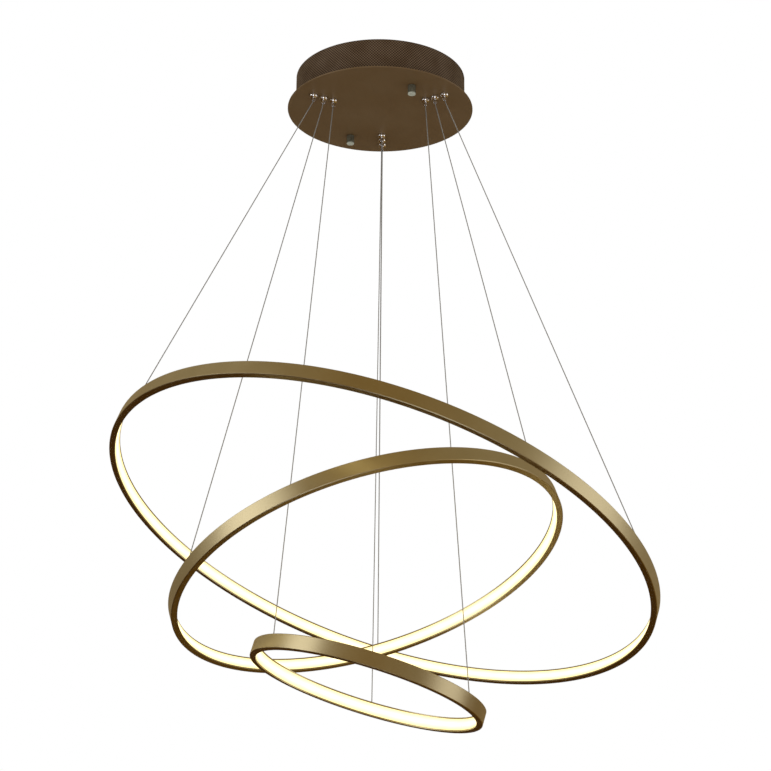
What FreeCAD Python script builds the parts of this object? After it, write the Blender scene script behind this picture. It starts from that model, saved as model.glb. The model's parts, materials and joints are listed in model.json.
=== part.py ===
"""LED ring chandelier: three tilted light rings hung on nine cables from a round ceiling canopy.

Millimetres. The origin is on the ceiling, at the centre of the canopy. +Z is up, so the lamp hangs
below z = 0, and the side towards -Y is the one that faces the viewer. Each piece is written to
parts/NAME.step.
"""

import FreeCAD, Part
import math
import os

from FreeCAD import Placement, Rotation, Vector

UP = Vector(0, 0, 1)

# Canopy: a flat disc below a shallow drum
CANOPY_DEPTH = 52.0
DISC_RADIUS = 139.0
DISC_THICKNESS = 2.0
DISC_EDGE_ROUND = 0.6
DRUM_RADIUS = 127.0
DRUM_WALL = 1.0
DRUM_FLANGE = 7.4
DRUM_CEILING_GAP = 0.5
DRUM_STUD_COUNT = 4
DRUM_STUD_ANGLE = 45.0

# Ceiling bracket: a flat bar with two hanging studs, held by two ceiling screws
BRACKET_WIDTH = 24.0
BRACKET_THICKNESS = 2.0
BRACKET_END = 12.0
BRACKET_ANGLE = 120.8
STUD_CIRCLE_RADIUS = 95.0
STUD_RADIUS = 2.0
CEILING_HOLE_PCD = 70.0
CEILING_HOLE_RADIUS = 2.6
CABLE_ENTRY_RADIUS = 6.0
EARTH_SCREW_OFFSET = 18.0
EARTH_HEAD_RADIUS = 3.8
EARTH_HEAD_HEIGHT = 2.6
EARTH_SLOT_WIDTH = 1.0
EARTH_SLOT_DEPTH = 1.3

# Thumb nuts that hold the canopy up against the ceiling
THUMB_NUT_RADIUS = 5.8
THUMB_NUT_LENGTH = 14.0
THUMB_NUT_BORE_DEPTH = 10.0
THUMB_NUT_CHAMFER = 0.7

# Cable grippers, three for each ring, on three spokes
SPOKE_ANGLES = {"left": 210.0, "right": 330.0, "far": 90.0}
GRIPPER_RADII = {"large": 111.5, "middle": 95.2, "small": 79.0}
DOME_RADIUS = 6.0
DOME_HEIGHT = 5.5
DOME_TIP_RADIUS = 3.7
BARREL_RADIUS = 4.0
BARREL_HEIGHT = 14.0
HEAD_SEAT_HEIGHT = 2.0
PLUNGER_TIP_RADIUS = 2.8
PLUNGER_STEM_RADIUS = 1.9
PLUNGER_HEAD_RADIUS = 2.9
PLUNGER_HEAD_HEIGHT = 2.0
PLUNGER_TIP_BELOW_DOME = 5.0
PLUNGER_TRAVEL = 2.0
CAP_THICKNESS = 3.0
CAP_RIM = 1.2

# Cables
CABLE_RADIUS = 0.75
CABLE_BORE_CLEARANCE = 0.2
CABLE_BEND_RADIUS = 8.0
CABLE_MOUTH_RADIUS = 2.0
CABLE_MOUTH_DEPTH = 3.6
CRIMP_RADIUS = 2.0
CRIMP_LENGTH = 6.0

# Rings: outer radius, centre (aside, back, and drop below the canopy disc), tilt in degrees, the direction
# that the ring's axis leans to, and the angles of its cables in the ring's own frame
RINGS = {
    "large": dict(
        radius=400.0,
        aside=1.5,
        back=25.7,
        drop=652.0,
        tilt=22.92,
        lean=40.18,
        cables={"left": 212.5, "right": 332.5, "far": 89.7},
    ),
    "middle": dict(
        radius=280.0,
        aside=-9.6,
        back=5.3,
        drop=697.7,
        tilt=22.81,
        lean=139.05,
        cables={"left": 213.0, "right": 330.1, "far": 91.0},
    ),
    "small": dict(
        radius=163.0,
        aside=-9.1,
        back=-16.2,
        drop=860.4,
        tilt=16.69,
        lean=16.31,
        cables={"left": 217.2, "right": 329.7, "far": 89.9},
    ),
}

# Ring profile: a channel that opens towards the ring's axis, closed by the diffuser
PROFILE_HEIGHT = 20.0
PROFILE_WIDTH = 8.6
PROFILE_WALL = 1.5
PROFILE_CHAMFER = 0.8
LIP_DEPTH = 0.3
LIP_HEIGHT = 0.6
RIB_WIDTH = 0.6
RIB_HEIGHT = 0.8
DIFFUSER_THICKNESS = 1.5
DIFFUSER_SIDE_CLEARANCE = 0.05
STRIP_SEAT_GAP = 0.5
STRIP_THICKNESS = 0.3
STRIP_WIDTH = 8.0
CHIP_PITCH = 33.3
CHIP_LENGTH = 2.8
CHIP_WIDTH = 3.5
CHIP_HEIGHT = 0.8
JOINT_ANGLE = 30.0
JOINT_GAP = 0.4
SPLICE_LENGTH = 44.0
SPLICE_THICKNESS = 2.0
SPLICE_SCREW_SPACING = 24.0
SPLICE_SCREW_RADIUS = 1.0
SPLICE_HEAD_RADIUS = 1.9
SPLICE_HEAD_LAND = 0.3
STOP_RADIUS = 1.8
STOP_INSET = 3.5
CABLE_HOLE_CLEARANCE = 0.4

# Driver and terminal block, on the canopy disc
DRIVER_LENGTH = 104.0
DRIVER_WIDTH = 42.0
DRIVER_HEIGHT = 24.0
DRIVER_WALL = 1.5
DRIVER_EAR = 10.0
DRIVER_EAR_WIDTH = 21.0
LID_THICKNESS = 1.5
LID_SCREW_INSET = 4.0
LID_SCREW_RADIUS = 1.2
LID_HEAD_RADIUS = 2.2
LID_HEAD_HEIGHT = 1.4
LID_SCREW_LENGTH = 8.0
LID_BORE_SPARE = 1.0
LID_BOSS_RADIUS = 2.8
TERMINAL_LENGTH = 38.0
TERMINAL_WIDTH = 18.0
TERMINAL_HEIGHT = 14.0
TERMINAL_EAR = 8.0
TERMINAL_EAR_WIDTH = 9.0
TERMINAL_EAR_HEIGHT = 3.0
TERMINAL_POLES = 6
TERMINAL_PITCH = 6.0
TERMINAL_SCREW_RADIUS = 1.8
TERMINAL_SCREW_DEPTH = 4.0
TERMINAL_SLOT_WIDTH = 0.6
TERMINAL_SLOT_DEPTH = 0.9
TERMINAL_WIRE_DEPTH = 5.0
TERMINAL_WIRE_HEIGHT = 4.7
TERMINAL_GAP = 8.0

# Leads inside the canopy
LEAD_RADIUS = 0.9
LEAD_CLEARANCE = 0.1
LEAD_BEND = 4.0
LEAD_LEVEL_STEP = 4.0
LEAD_TOP_LEVEL = -14.0
LEAD_DROP_DISTANCE = 16.0

# Fasteners and fits
M3_RADIUS = 1.5
M3_NUT_FLATS = 5.5
M3_NUT_HEIGHT = 2.4
M4_NUT_FLATS = 7.0
M4_NUT_HEIGHT = 3.2
GRIPPER_NUT_FLATS = 13.0
GRIPPER_NUT_HEIGHT = 4.0
WELD_STUD_SPARE = 2.0
THREAD_CLEARANCE = 0.05
HOLE_CLEARANCE = 0.4
RUNNING_CLEARANCE = 0.08
FACE_GAP = 0.1

# Levels that follow from the sizes above
DISC_BOTTOM = -CANOPY_DEPTH
DISC_TOP = DISC_BOTTOM + DISC_THICKNESS
BRACKET_BOTTOM = -BRACKET_THICKNESS
DOME_BOTTOM = DISC_BOTTOM - DOME_HEIGHT
CABLE_EXIT = DOME_BOTTOM - PLUNGER_TIP_BELOW_DOME
HEAD_SEAT = DISC_TOP + HEAD_SEAT_HEIGHT
BARREL_TOP = DISC_TOP + BARREL_HEIGHT
CAP_TOP = BARREL_TOP + CAP_RIM
CABLE_TOP = CAP_TOP + FACE_GAP + CRIMP_LENGTH
WIRE_LEVEL = DISC_TOP + TERMINAL_WIRE_HEIGHT
DRUM_STUD_CIRCLE = DRUM_RADIUS - DRUM_WALL - DRUM_FLANGE / 2


def polar(radius, degrees, z=0.0):
    angle = math.radians(degrees)
    return Vector(radius * math.cos(angle), radius * math.sin(angle), z)


def cylinder(radius, low, high, at=Vector()):
    return Part.makeCylinder(radius, high - low, Vector(at.x, at.y, low))


def cone(low_radius, high_radius, low, high, at=Vector()):
    return Part.makeCone(low_radius, high_radius, high - low, Vector(at.x, at.y, low))


def tube(outer, inner, low, high, at=Vector()):
    return cylinder(outer, low, high, at).cut(cylinder(inner, low, high, at))


def block(size_x, size_y, low, high, at=Vector()):
    corner = Vector(at.x - size_x / 2, at.y - size_y / 2, low)
    return Part.makeBox(size_x, size_y, high - low, corner)


def nut(flats, height, bore, low, at=Vector()):
    """A hexagon nut, with its axis along Z."""
    corner_radius = flats / math.sqrt(3)
    corners = [at + polar(corner_radius, 60 * k) for k in range(7)]
    outline = Part.makePolygon([Vector(p.x, p.y, low) for p in corners])
    body = Part.Face(outline).extrude(Vector(0, 0, height))
    return body.cut(cylinder(bore, low, low + height, at))


def revolved(points, degrees=360.0, start=0.0):
    """Turns an outline of (radius, z) points about the Z axis."""
    corners = [Vector(r, 0, z) for r, z in points]
    face = Part.Face(Part.makePolygon(corners + corners[:1]))
    body = face.revolve(Vector(), UP, degrees)
    body.rotate(Vector(), UP, start)
    return body


def turned(shape, degrees):
    copy = shape.copy()
    copy.rotate(Vector(), UP, degrees)
    return copy


def weld_studs(places, height):
    """M3 studs that stand on the canopy disc, long enough for a nut above a flange of that height."""
    top = DISC_TOP + height + M3_NUT_HEIGHT + WELD_STUD_SPARE
    return [cylinder(M3_RADIUS, DISC_TOP - DISC_THICKNESS / 2, top, at) for at in places]


def stud_nuts(places, height):
    bore = M3_RADIUS + THREAD_CLEARANCE
    return [nut(M3_NUT_FLATS, M3_NUT_HEIGHT, bore, DISC_TOP + height, at) for at in places]


def gripper_places():
    """(ring, side) to the gripper's place on the canopy disc."""
    return {
        (ring, side): polar(radius, angle)
        for ring, radius in GRIPPER_RADII.items()
        for side, angle in SPOKE_ANGLES.items()
    }


def stud_places():
    """Where the two hanging studs are, the near one first."""
    return [polar(STUD_CIRCLE_RADIUS, BRACKET_ANGLE + 180), polar(STUD_CIRCLE_RADIUS, BRACKET_ANGLE)]


def drum_stud_places():
    step = 360.0 / DRUM_STUD_COUNT
    return [polar(DRUM_STUD_CIRCLE, DRUM_STUD_ANGLE + k * step) for k in range(DRUM_STUD_COUNT)]


def driver_stud_places():
    reach = DRIVER_LENGTH / 2 + DRIVER_EAR / 2
    return [Vector(-reach, 0, 0), Vector(reach, 0, 0)]


def terminal_centre():
    return Vector(0, -(DRIVER_WIDTH / 2 + TERMINAL_GAP + TERMINAL_WIDTH / 2), 0)


def terminal_stud_places():
    reach = TERMINAL_LENGTH / 2 + TERMINAL_EAR / 2
    return [terminal_centre() + Vector(-reach, 0, 0), terminal_centre() + Vector(reach, 0, 0)]


def pole_places():
    """The middle of each terminal pole, from left to right."""
    first = -(TERMINAL_POLES - 1) / 2
    return [terminal_centre() + Vector((first + k) * TERMINAL_PITCH, 0, 0) for k in range(TERMINAL_POLES)]


# Ceiling bracket


def ceiling_bracket():
    reach = STUD_CIRCLE_RADIUS + BRACKET_END
    bar = block(2 * (reach - BRACKET_WIDTH / 2), BRACKET_WIDTH, BRACKET_BOTTOM, 0)
    for end in (-1, 1):
        middle = Vector(end * (reach - BRACKET_WIDTH / 2), 0, 0)
        bar = bar.fuse(cylinder(BRACKET_WIDTH / 2, BRACKET_BOTTOM, 0, middle))
    holes = [cylinder(CABLE_ENTRY_RADIUS, BRACKET_BOTTOM, 0)]
    for end in (-1, 1):
        ceiling_screw = Vector(end * CEILING_HOLE_PCD / 2, 0, 0)
        stud = Vector(end * STUD_CIRCLE_RADIUS, 0, 0)
        holes.append(cylinder(CEILING_HOLE_RADIUS, BRACKET_BOTTOM, 0, ceiling_screw))
        holes.append(cylinder(STUD_RADIUS + THREAD_CLEARANCE, BRACKET_BOTTOM, 0, stud))
    earth = Vector(EARTH_SCREW_OFFSET, 0, 0)
    holes.append(cylinder(STUD_RADIUS + THREAD_CLEARANCE, BRACKET_BOTTOM, 0, earth))
    return turned(bar.cut(holes).removeSplitter(), BRACKET_ANGLE)


def bracket_studs():
    low = DISC_BOTTOM - THUMB_NUT_BORE_DEPTH + 2 * FACE_GAP
    return [cylinder(STUD_RADIUS, low, 0, at) for at in stud_places()]


def stud_lock_nuts():
    low = BRACKET_BOTTOM - M4_NUT_HEIGHT
    bore = STUD_RADIUS + THREAD_CLEARANCE
    return [nut(M4_NUT_FLATS, M4_NUT_HEIGHT, bore, low, at) for at in stud_places()]


def earth_screw():
    at = polar(EARTH_SCREW_OFFSET, BRACKET_ANGLE)
    head_top = BRACKET_BOTTOM
    head_low = head_top - EARTH_HEAD_HEIGHT
    head = cylinder(EARTH_HEAD_RADIUS, head_low, head_top, at)
    slot = block(2 * EARTH_HEAD_RADIUS, EARTH_SLOT_WIDTH, head_low, head_low + EARTH_SLOT_DEPTH, at)
    shank = cylinder(STUD_RADIUS, head_top, 0, at)
    return head.cut(slot).fuse(shank).removeSplitter()


# Canopy


def canopy_disc():
    disc = cylinder(DISC_RADIUS, DISC_BOTTOM, DISC_TOP)
    rim = [e for e in disc.Edges if len(e.Vertexes) == 1]
    disc = disc.makeFillet(DISC_EDGE_ROUND, rim)
    holes = [
        cylinder(BARREL_RADIUS + THREAD_CLEARANCE, DISC_BOTTOM, DISC_TOP, at)
        for at in gripper_places().values()
    ]
    holes += [cylinder(STUD_RADIUS + HOLE_CLEARANCE, DISC_BOTTOM, DISC_TOP, at) for at in stud_places()]
    studs = weld_studs(drum_stud_places(), DRUM_WALL)
    studs += weld_studs(driver_stud_places(), DRIVER_WALL)
    studs += weld_studs(terminal_stud_places(), TERMINAL_EAR_HEIGHT)
    return disc.cut(holes).fuse(studs).removeSplitter()


def canopy_drum():
    high = -DRUM_CEILING_GAP
    inner = DRUM_RADIUS - DRUM_WALL
    drum = revolved([
        (inner - DRUM_FLANGE, DISC_TOP),
        (DRUM_RADIUS, DISC_TOP),
        (DRUM_RADIUS, high),
        (inner, high),
        (inner, DISC_TOP + DRUM_WALL),
        (inner - DRUM_FLANGE, DISC_TOP + DRUM_WALL),
    ])
    flange_top = DISC_TOP + DRUM_WALL
    return drum.cut([
        cylinder(M3_RADIUS + HOLE_CLEARANCE, DISC_TOP, flange_top, at) for at in drum_stud_places()
    ])


def drum_nuts():
    return stud_nuts(drum_stud_places(), DRUM_WALL)


def thumb_nut(at):
    high = DISC_BOTTOM - FACE_GAP
    low = high - THUMB_NUT_LENGTH
    edge = THUMB_NUT_CHAMFER
    body = revolved([
        (0, low),
        (THUMB_NUT_RADIUS - edge, low),
        (THUMB_NUT_RADIUS, low + edge),
        (THUMB_NUT_RADIUS, high - edge),
        (THUMB_NUT_RADIUS - edge, high),
        (0, high),
    ])
    body.translate(Vector(at.x, at.y, 0))
    return body.cut(cylinder(STUD_RADIUS + RUNNING_CLEARANCE, high - THUMB_NUT_BORE_DEPTH, high, at))


# Driver and terminal block


def driver_shell():
    low, high = DISC_TOP, DISC_TOP + DRIVER_HEIGHT
    body = block(DRIVER_LENGTH, DRIVER_WIDTH, low, high)
    hollow = block(DRIVER_LENGTH - 2 * DRIVER_WALL, DRIVER_WIDTH - 2 * DRIVER_WALL, low + DRIVER_WALL, high)
    ears = block(DRIVER_LENGTH + 2 * DRIVER_EAR, DRIVER_EAR_WIDTH, low, low + DRIVER_WALL)
    return body.fuse(ears).cut(hollow)


def lid_screw_places():
    x = DRIVER_LENGTH / 2 - LID_SCREW_INSET
    y = DRIVER_WIDTH / 2 - LID_SCREW_INSET
    return [Vector(sx * x, sy * y, 0) for sx in (-1, 1) for sy in (-1, 1)]


def driver_case():
    low, high = DISC_TOP, DISC_TOP + DRIVER_HEIGHT
    bosses = [cylinder(LID_BOSS_RADIUS, low + DRIVER_WALL / 2, high, at) for at in lid_screw_places()]
    bores = [
        cylinder(LID_SCREW_RADIUS + THREAD_CLEARANCE, high - LID_SCREW_LENGTH - LID_BORE_SPARE, high, at)
        for at in lid_screw_places()
    ]
    bores += [
        cylinder(M3_RADIUS + HOLE_CLEARANCE, low, low + DRIVER_WALL, at) for at in driver_stud_places()
    ]
    bores += [lead_hole(x, -DRIVER_WIDTH / 2, DRIVER_WALL) for x in output_lead_columns()]
    return driver_shell().fuse(bosses).cut(bores).removeSplitter()


def driver_lid():
    low = DISC_TOP + DRIVER_HEIGHT
    lid = block(DRIVER_LENGTH, DRIVER_WIDTH, low, low + LID_THICKNESS)
    return lid.cut([
        cylinder(LID_SCREW_RADIUS + HOLE_CLEARANCE / 2, low, low + LID_THICKNESS, at)
        for at in lid_screw_places()
    ])


def driver_lid_screws():
    seat = DISC_TOP + DRIVER_HEIGHT + LID_THICKNESS
    low = DISC_TOP + DRIVER_HEIGHT - LID_SCREW_LENGTH
    screws = []
    for at in lid_screw_places():
        shank = cylinder(LID_SCREW_RADIUS, low, seat, at)
        head = cylinder(LID_HEAD_RADIUS, seat, seat + LID_HEAD_HEIGHT, at)
        screws.append(shank.fuse(head))
    return screws


def driver_nuts():
    return stud_nuts(driver_stud_places(), DRIVER_WALL)


def lead_hole(x, face, depth):
    """A hole for a lead, along +Y from the face at y = face."""
    start = Vector(x, face, WIRE_LEVEL)
    return Part.makeCylinder(LEAD_RADIUS + LEAD_CLEARANCE, depth, start, Vector(0, 1, 0))


def output_lead_columns():
    """The two poles that the driver feeds."""
    poles = pole_places()
    return [poles[0].x, poles[-1].x]


def terminal_block():
    centre = terminal_centre()
    high = DISC_TOP + TERMINAL_HEIGHT
    body = block(TERMINAL_LENGTH, TERMINAL_WIDTH, DISC_TOP, high, centre)
    ear_top = DISC_TOP + TERMINAL_EAR_HEIGHT
    ears = block(TERMINAL_LENGTH + 2 * TERMINAL_EAR, TERMINAL_EAR_WIDTH, DISC_TOP, ear_top, centre)
    body = body.fuse(ears)
    holes = [
        cylinder(TERMINAL_SCREW_RADIUS + THREAD_CLEARANCE, high - TERMINAL_SCREW_DEPTH, high, at)
        for at in pole_places()
    ]
    holes += [cylinder(M3_RADIUS + HOLE_CLEARANCE, DISC_TOP, ear_top, at) for at in terminal_stud_places()]
    front = centre.y - TERMINAL_WIDTH / 2
    back = centre.y + TERMINAL_WIDTH / 2
    holes += [lead_hole(at.x, front, TERMINAL_WIRE_DEPTH) for at in pole_places()]
    holes += [lead_hole(x, back - TERMINAL_WIRE_DEPTH, TERMINAL_WIRE_DEPTH) for x in output_lead_columns()]
    return body.cut(holes).removeSplitter()


def terminal_screws():
    high = DISC_TOP + TERMINAL_HEIGHT
    low = high - TERMINAL_SCREW_DEPTH
    slot_low = high - FACE_GAP - TERMINAL_SLOT_DEPTH
    screws = []
    for at in pole_places():
        screw = cylinder(TERMINAL_SCREW_RADIUS, low, high - FACE_GAP, at)
        screws.append(screw.cut(block(2 * TERMINAL_SCREW_RADIUS, TERMINAL_SLOT_WIDTH, slot_low, high, at)))
    return screws


def terminal_nuts():
    return stud_nuts(terminal_stud_places(), TERMINAL_EAR_HEIGHT)


# Runs of round wire: straight stretches joined by arcs


def rounded_path(points, bend):
    """A wire through the points, with each inner corner rounded to that radius."""
    edges = []
    start = points[0]
    for before, corner, after in zip(points, points[1:], points[2:]):
        back = (before - corner).normalize()
        ahead = (after - corner).normalize()
        half = back.getAngle(ahead) / 2
        reach = bend / math.tan(half)
        first, last = corner + back * reach, corner + ahead * reach
        inward = (back + ahead).normalize()
        middle = corner + inward * (bend / math.sin(half) - bend)
        edges.append(Part.makeLine(start, first))
        edges.append(Part.Arc(first, middle, last).toShape())
        start = last
    edges.append(Part.makeLine(start, points[-1]))
    return Part.Wire(edges)


def swept(points, radius, bend):
    path = rounded_path(points, bend)
    direction = points[1] - points[0]
    section = Part.Wire(Part.makeCircle(radius, points[0], direction))
    return path.makePipeShell([section], True, False)


def supply_leads():
    """Low-voltage leads from the crimps on the left and right spokes to the terminal block's front."""
    centre = terminal_centre()
    front = centre.y - TERMINAL_WIDTH / 2
    poles = [at.x for at in pole_places()]
    half = TERMINAL_POLES // 2
    columns = {"left": poles[:half][::-1], "right": poles[half:]}
    leads = []
    for side, side_columns in columns.items():
        for step, ring in enumerate(("small", "middle", "large")):
            at = gripper_places()[ring, side]
            level = LEAD_TOP_LEVEL - step * LEAD_LEVEL_STEP
            x = side_columns[step]
            drop = front - LEAD_DROP_DISTANCE
            leads.append(swept([
                Vector(at.x, at.y, CABLE_TOP),
                Vector(at.x, at.y, level),
                Vector(x, drop, level),
                Vector(x, drop, WIRE_LEVEL),
                Vector(x, front + TERMINAL_WIRE_DEPTH, WIRE_LEVEL),
            ], LEAD_RADIUS, LEAD_BEND))
    return leads


def driver_leads():
    """Two short leads from the driver to the back of the terminal block."""
    start = terminal_centre().y + TERMINAL_WIDTH / 2 - TERMINAL_WIRE_DEPTH
    end = -DRIVER_WIDTH / 2 + 2 * DRIVER_WALL
    return [
        Part.makeCylinder(LEAD_RADIUS, end - start, Vector(x, start, WIRE_LEVEL), Vector(0, 1, 0))
        for x in output_lead_columns()
    ]


# Cable grippers


def gripper_body():
    """A threaded barrel with a domed collar, round a bore with a step for the plunger's head."""
    step = CABLE_EXIT + PLUNGER_TIP_BELOW_DOME + 2 * PLUNGER_TRAVEL + 2 * FACE_GAP
    body = cylinder(BARREL_RADIUS, DISC_BOTTOM, BARREL_TOP).fuse(dome())
    tip_bore = cylinder(PLUNGER_TIP_RADIUS + RUNNING_CLEARANCE, DOME_BOTTOM, step)
    stem_bore = cylinder(PLUNGER_STEM_RADIUS + RUNNING_CLEARANCE, step, HEAD_SEAT)
    head_bore = cylinder(PLUNGER_HEAD_RADIUS + RUNNING_CLEARANCE, HEAD_SEAT, BARREL_TOP)
    return body.cut([tip_bore, stem_bore, head_bore]).removeSplitter()


def dome():
    """The collar's round side is one arc from the canopy disc down to its mouth."""
    rise = DOME_BOTTOM - DISC_BOTTOM
    middle = Vector(
        DOME_TIP_RADIUS + (DOME_RADIUS - DOME_TIP_RADIUS) * math.cos(math.pi / 4),
        0,
        DISC_BOTTOM + rise * math.sin(math.pi / 4),
    )
    top, edge = Vector(0, 0, DISC_BOTTOM), Vector(DOME_RADIUS, 0, DISC_BOTTOM)
    mouth, base = Vector(DOME_TIP_RADIUS, 0, DOME_BOTTOM), Vector(0, 0, DOME_BOTTOM)
    outline = Part.Wire([
        Part.makeLine(top, edge),
        Part.Arc(edge, middle, mouth).toShape(),
        Part.makeLine(mouth, base),
        Part.makeLine(base, top),
    ])
    return Part.Face(outline).revolve(Vector(), UP, 360)


def gripper_cap():
    """A screwed cap that closes the barrel above the plunger."""
    low = BARREL_TOP - CAP_THICKNESS + CAP_RIM
    cap = cylinder(PLUNGER_HEAD_RADIUS + RUNNING_CLEARANCE - THREAD_CLEARANCE, low, BARREL_TOP)
    cap = cap.fuse(cylinder(BARREL_RADIUS, BARREL_TOP, CAP_TOP))
    return cap.cut(cylinder(CABLE_RADIUS + CABLE_BORE_CLEARANCE, low, CAP_TOP)).removeSplitter()


def plunger():
    """The release plunger: a collar below, a stem and a head, bored for the cable, with a flared mouth."""
    collar_top = DOME_BOTTOM + PLUNGER_TRAVEL
    seat = HEAD_SEAT + FACE_GAP
    body = cylinder(PLUNGER_TIP_RADIUS, CABLE_EXIT, collar_top)
    body = body.fuse(cylinder(PLUNGER_STEM_RADIUS, collar_top, seat))
    body = body.fuse(cylinder(PLUNGER_HEAD_RADIUS, seat, seat + PLUNGER_HEAD_HEIGHT))
    bore = cylinder(CABLE_RADIUS + CABLE_BORE_CLEARANCE, CABLE_EXIT, seat + PLUNGER_HEAD_HEIGHT)
    mouth_top = CABLE_EXIT + CABLE_MOUTH_DEPTH
    mouth = cone(CABLE_MOUTH_RADIUS, CABLE_RADIUS + CABLE_BORE_CLEARANCE, CABLE_EXIT, mouth_top)
    return body.cut([bore, mouth]).removeSplitter()


def crimp():
    low = CAP_TOP + FACE_GAP
    return tube(CRIMP_RADIUS, CABLE_RADIUS + THREAD_CLEARANCE, low, CABLE_TOP)


def at_each_gripper(shape):
    copies = []
    for at in gripper_places().values():
        copy = shape.copy()
        copy.translate(at)
        copies.append(copy)
    return copies


def gripper_lock_nuts():
    bore = BARREL_RADIUS + THREAD_CLEARANCE
    return at_each_gripper(nut(GRIPPER_NUT_FLATS, GRIPPER_NUT_HEIGHT, bore, DISC_TOP))


# Rings


def ring_placement(ring):
    """From the ring's own frame, with its axis on Z, to where it hangs."""
    data = RINGS[ring]
    hinge = polar(1, data["lean"] + 90)
    centre = Vector(data["aside"], data["back"], DISC_BOTTOM - data["drop"])
    return Placement(centre, Rotation(hinge, data["tilt"]))


def hung(shapes, ring):
    """Moves shapes from the ring's own frame to where it hangs."""
    matrix = ring_placement(ring).toMatrix()
    placed = [s.copy() for s in shapes]
    for shape in placed:
        shape.transformShape(matrix)
    return placed


def stop_centre(ring, side):
    """The middle of a cable's stop ball, in the ring's own frame, just under the channel's upper flange."""
    data = RINGS[ring]
    z = PROFILE_HEIGHT / 2 - PROFILE_WALL - RUNNING_CLEARANCE - STOP_RADIUS
    return polar(data["radius"] - STOP_INSET, data["cables"][side], z)


def cable_end(ring, side):
    return ring_placement(ring).multVec(stop_centre(ring, side))


def cable_exit(ring, side):
    at = gripper_places()[ring, side]
    return Vector(at.x, at.y, CABLE_EXIT)


def cable_line(ring, side):
    """(end, direction) of the cable where it meets the ring, in the ring's own frame."""
    back = ring_placement(ring).inverse()
    end = back.multVec(cable_end(ring, side))
    start = back.multVec(cable_exit(ring, side))
    return end, (start - end).normalize()


def cable(ring, side):
    """Straight down through the gripper, a small bend at the mouth, then straight to the stop ball."""
    exit_point = cable_exit(ring, side)
    end = cable_end(ring, side)
    inside = (exit_point - end).normalize() * (STOP_RADIUS - FACE_GAP)
    top = Vector(exit_point.x, exit_point.y, CABLE_TOP)
    return swept([top, exit_point, end - inside], CABLE_RADIUS, CABLE_BEND_RADIUS)


def cable_stops(ring):
    """Balls crimped on the cable ends, each bored along its cable."""
    balls = []
    for side in SPOKE_ANGLES:
        end, direction = cable_line(ring, side)
        ball = Part.makeSphere(STOP_RADIUS, end)
        bore = Part.makeCylinder(
            CABLE_RADIUS + THREAD_CLEARANCE, 4 * STOP_RADIUS, end - direction * (2 * STOP_RADIUS), direction
        )
        balls.append(ball.cut(bore))
    return hung(balls, ring)


def splice_places(ring):
    """The two splice screws, in the ring's own frame, one on each side of the joint."""
    middle = channel_middle(ring)
    half = math.degrees(SPLICE_SCREW_SPACING / 2 / middle)
    return [polar(middle, JOINT_ANGLE - half), polar(middle, JOINT_ANGLE + half)]


def channel_middle(ring):
    """Half way between the back of the diffuser's ribs and the outer wall."""
    radius = RINGS[ring]["radius"]
    back = radius - PROFILE_WIDTH + LIP_DEPTH + DIFFUSER_THICKNESS + RIB_WIDTH
    return (back + radius - PROFILE_WALL) / 2


def ring_frame(ring):
    radius = RINGS[ring]["radius"]
    top = PROFILE_HEIGHT / 2
    inner = radius - PROFILE_WIDTH
    flange = top - PROFILE_WALL
    lip = inner + LIP_DEPTH
    rib = lip + DIFFUSER_THICKNESS
    half = [
        (inner, flange - LIP_HEIGHT),
        (inner, top),
        (radius - PROFILE_CHAMFER, top),
        (radius, top - PROFILE_CHAMFER),
    ]
    inside = [
        (radius - PROFILE_WALL, flange),
        (rib + RIB_WIDTH, flange),
        (rib + RIB_WIDTH, flange - RIB_HEIGHT),
        (rib, flange - RIB_HEIGHT),
        (rib, flange),
        (lip, flange),
        (lip, flange - LIP_HEIGHT),
    ]
    below = [(r, -z) for r, z in reversed(half)]
    inside_below = [(r, -z) for r, z in reversed(inside)]
    frame = revolved(half + below + inside_below + inside)
    cuts = [joint_cut(radius)]
    for side in SPOKE_ANGLES:
        end, direction = cable_line(ring, side)
        hole_radius = CABLE_RADIUS + CABLE_HOLE_CLEARANCE
        cuts.append(Part.makeCylinder(hole_radius, PROFILE_HEIGHT, end, direction))
    for at in splice_places(ring):
        cuts.append(cylinder(SPLICE_SCREW_RADIUS + THREAD_CLEARANCE, flange, top, at))
        cuts.append(cone(SPLICE_SCREW_RADIUS, SPLICE_HEAD_RADIUS, flange + SPLICE_HEAD_LAND, top, at))
    return hung([frame.cut(cuts)], ring)


def joint_cut(radius):
    """The narrow gap where the two ends of the bent profile meet."""
    cut = Part.makeBox(2 * PROFILE_WIDTH, JOINT_GAP, 2 * PROFILE_HEIGHT)
    cut.translate(Vector(radius - 1.5 * PROFILE_WIDTH, -JOINT_GAP / 2, -PROFILE_HEIGHT))
    return turned(cut, JOINT_ANGLE)


def open_band(points, ring):
    """A band round the ring, open at the profile's joint."""
    radius = RINGS[ring]["radius"]
    gap = math.degrees(JOINT_GAP / radius)
    return revolved(points, 360 - gap, JOINT_ANGLE + gap / 2)


def ring_diffuser(ring):
    low = RINGS[ring]["radius"] - PROFILE_WIDTH + LIP_DEPTH
    high = low + DIFFUSER_THICKNESS
    top = PROFILE_HEIGHT / 2 - PROFILE_WALL - DIFFUSER_SIDE_CLEARANCE
    return hung([open_band([(low, -top), (high, -top), (high, top), (low, top)], ring)], ring)


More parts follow.
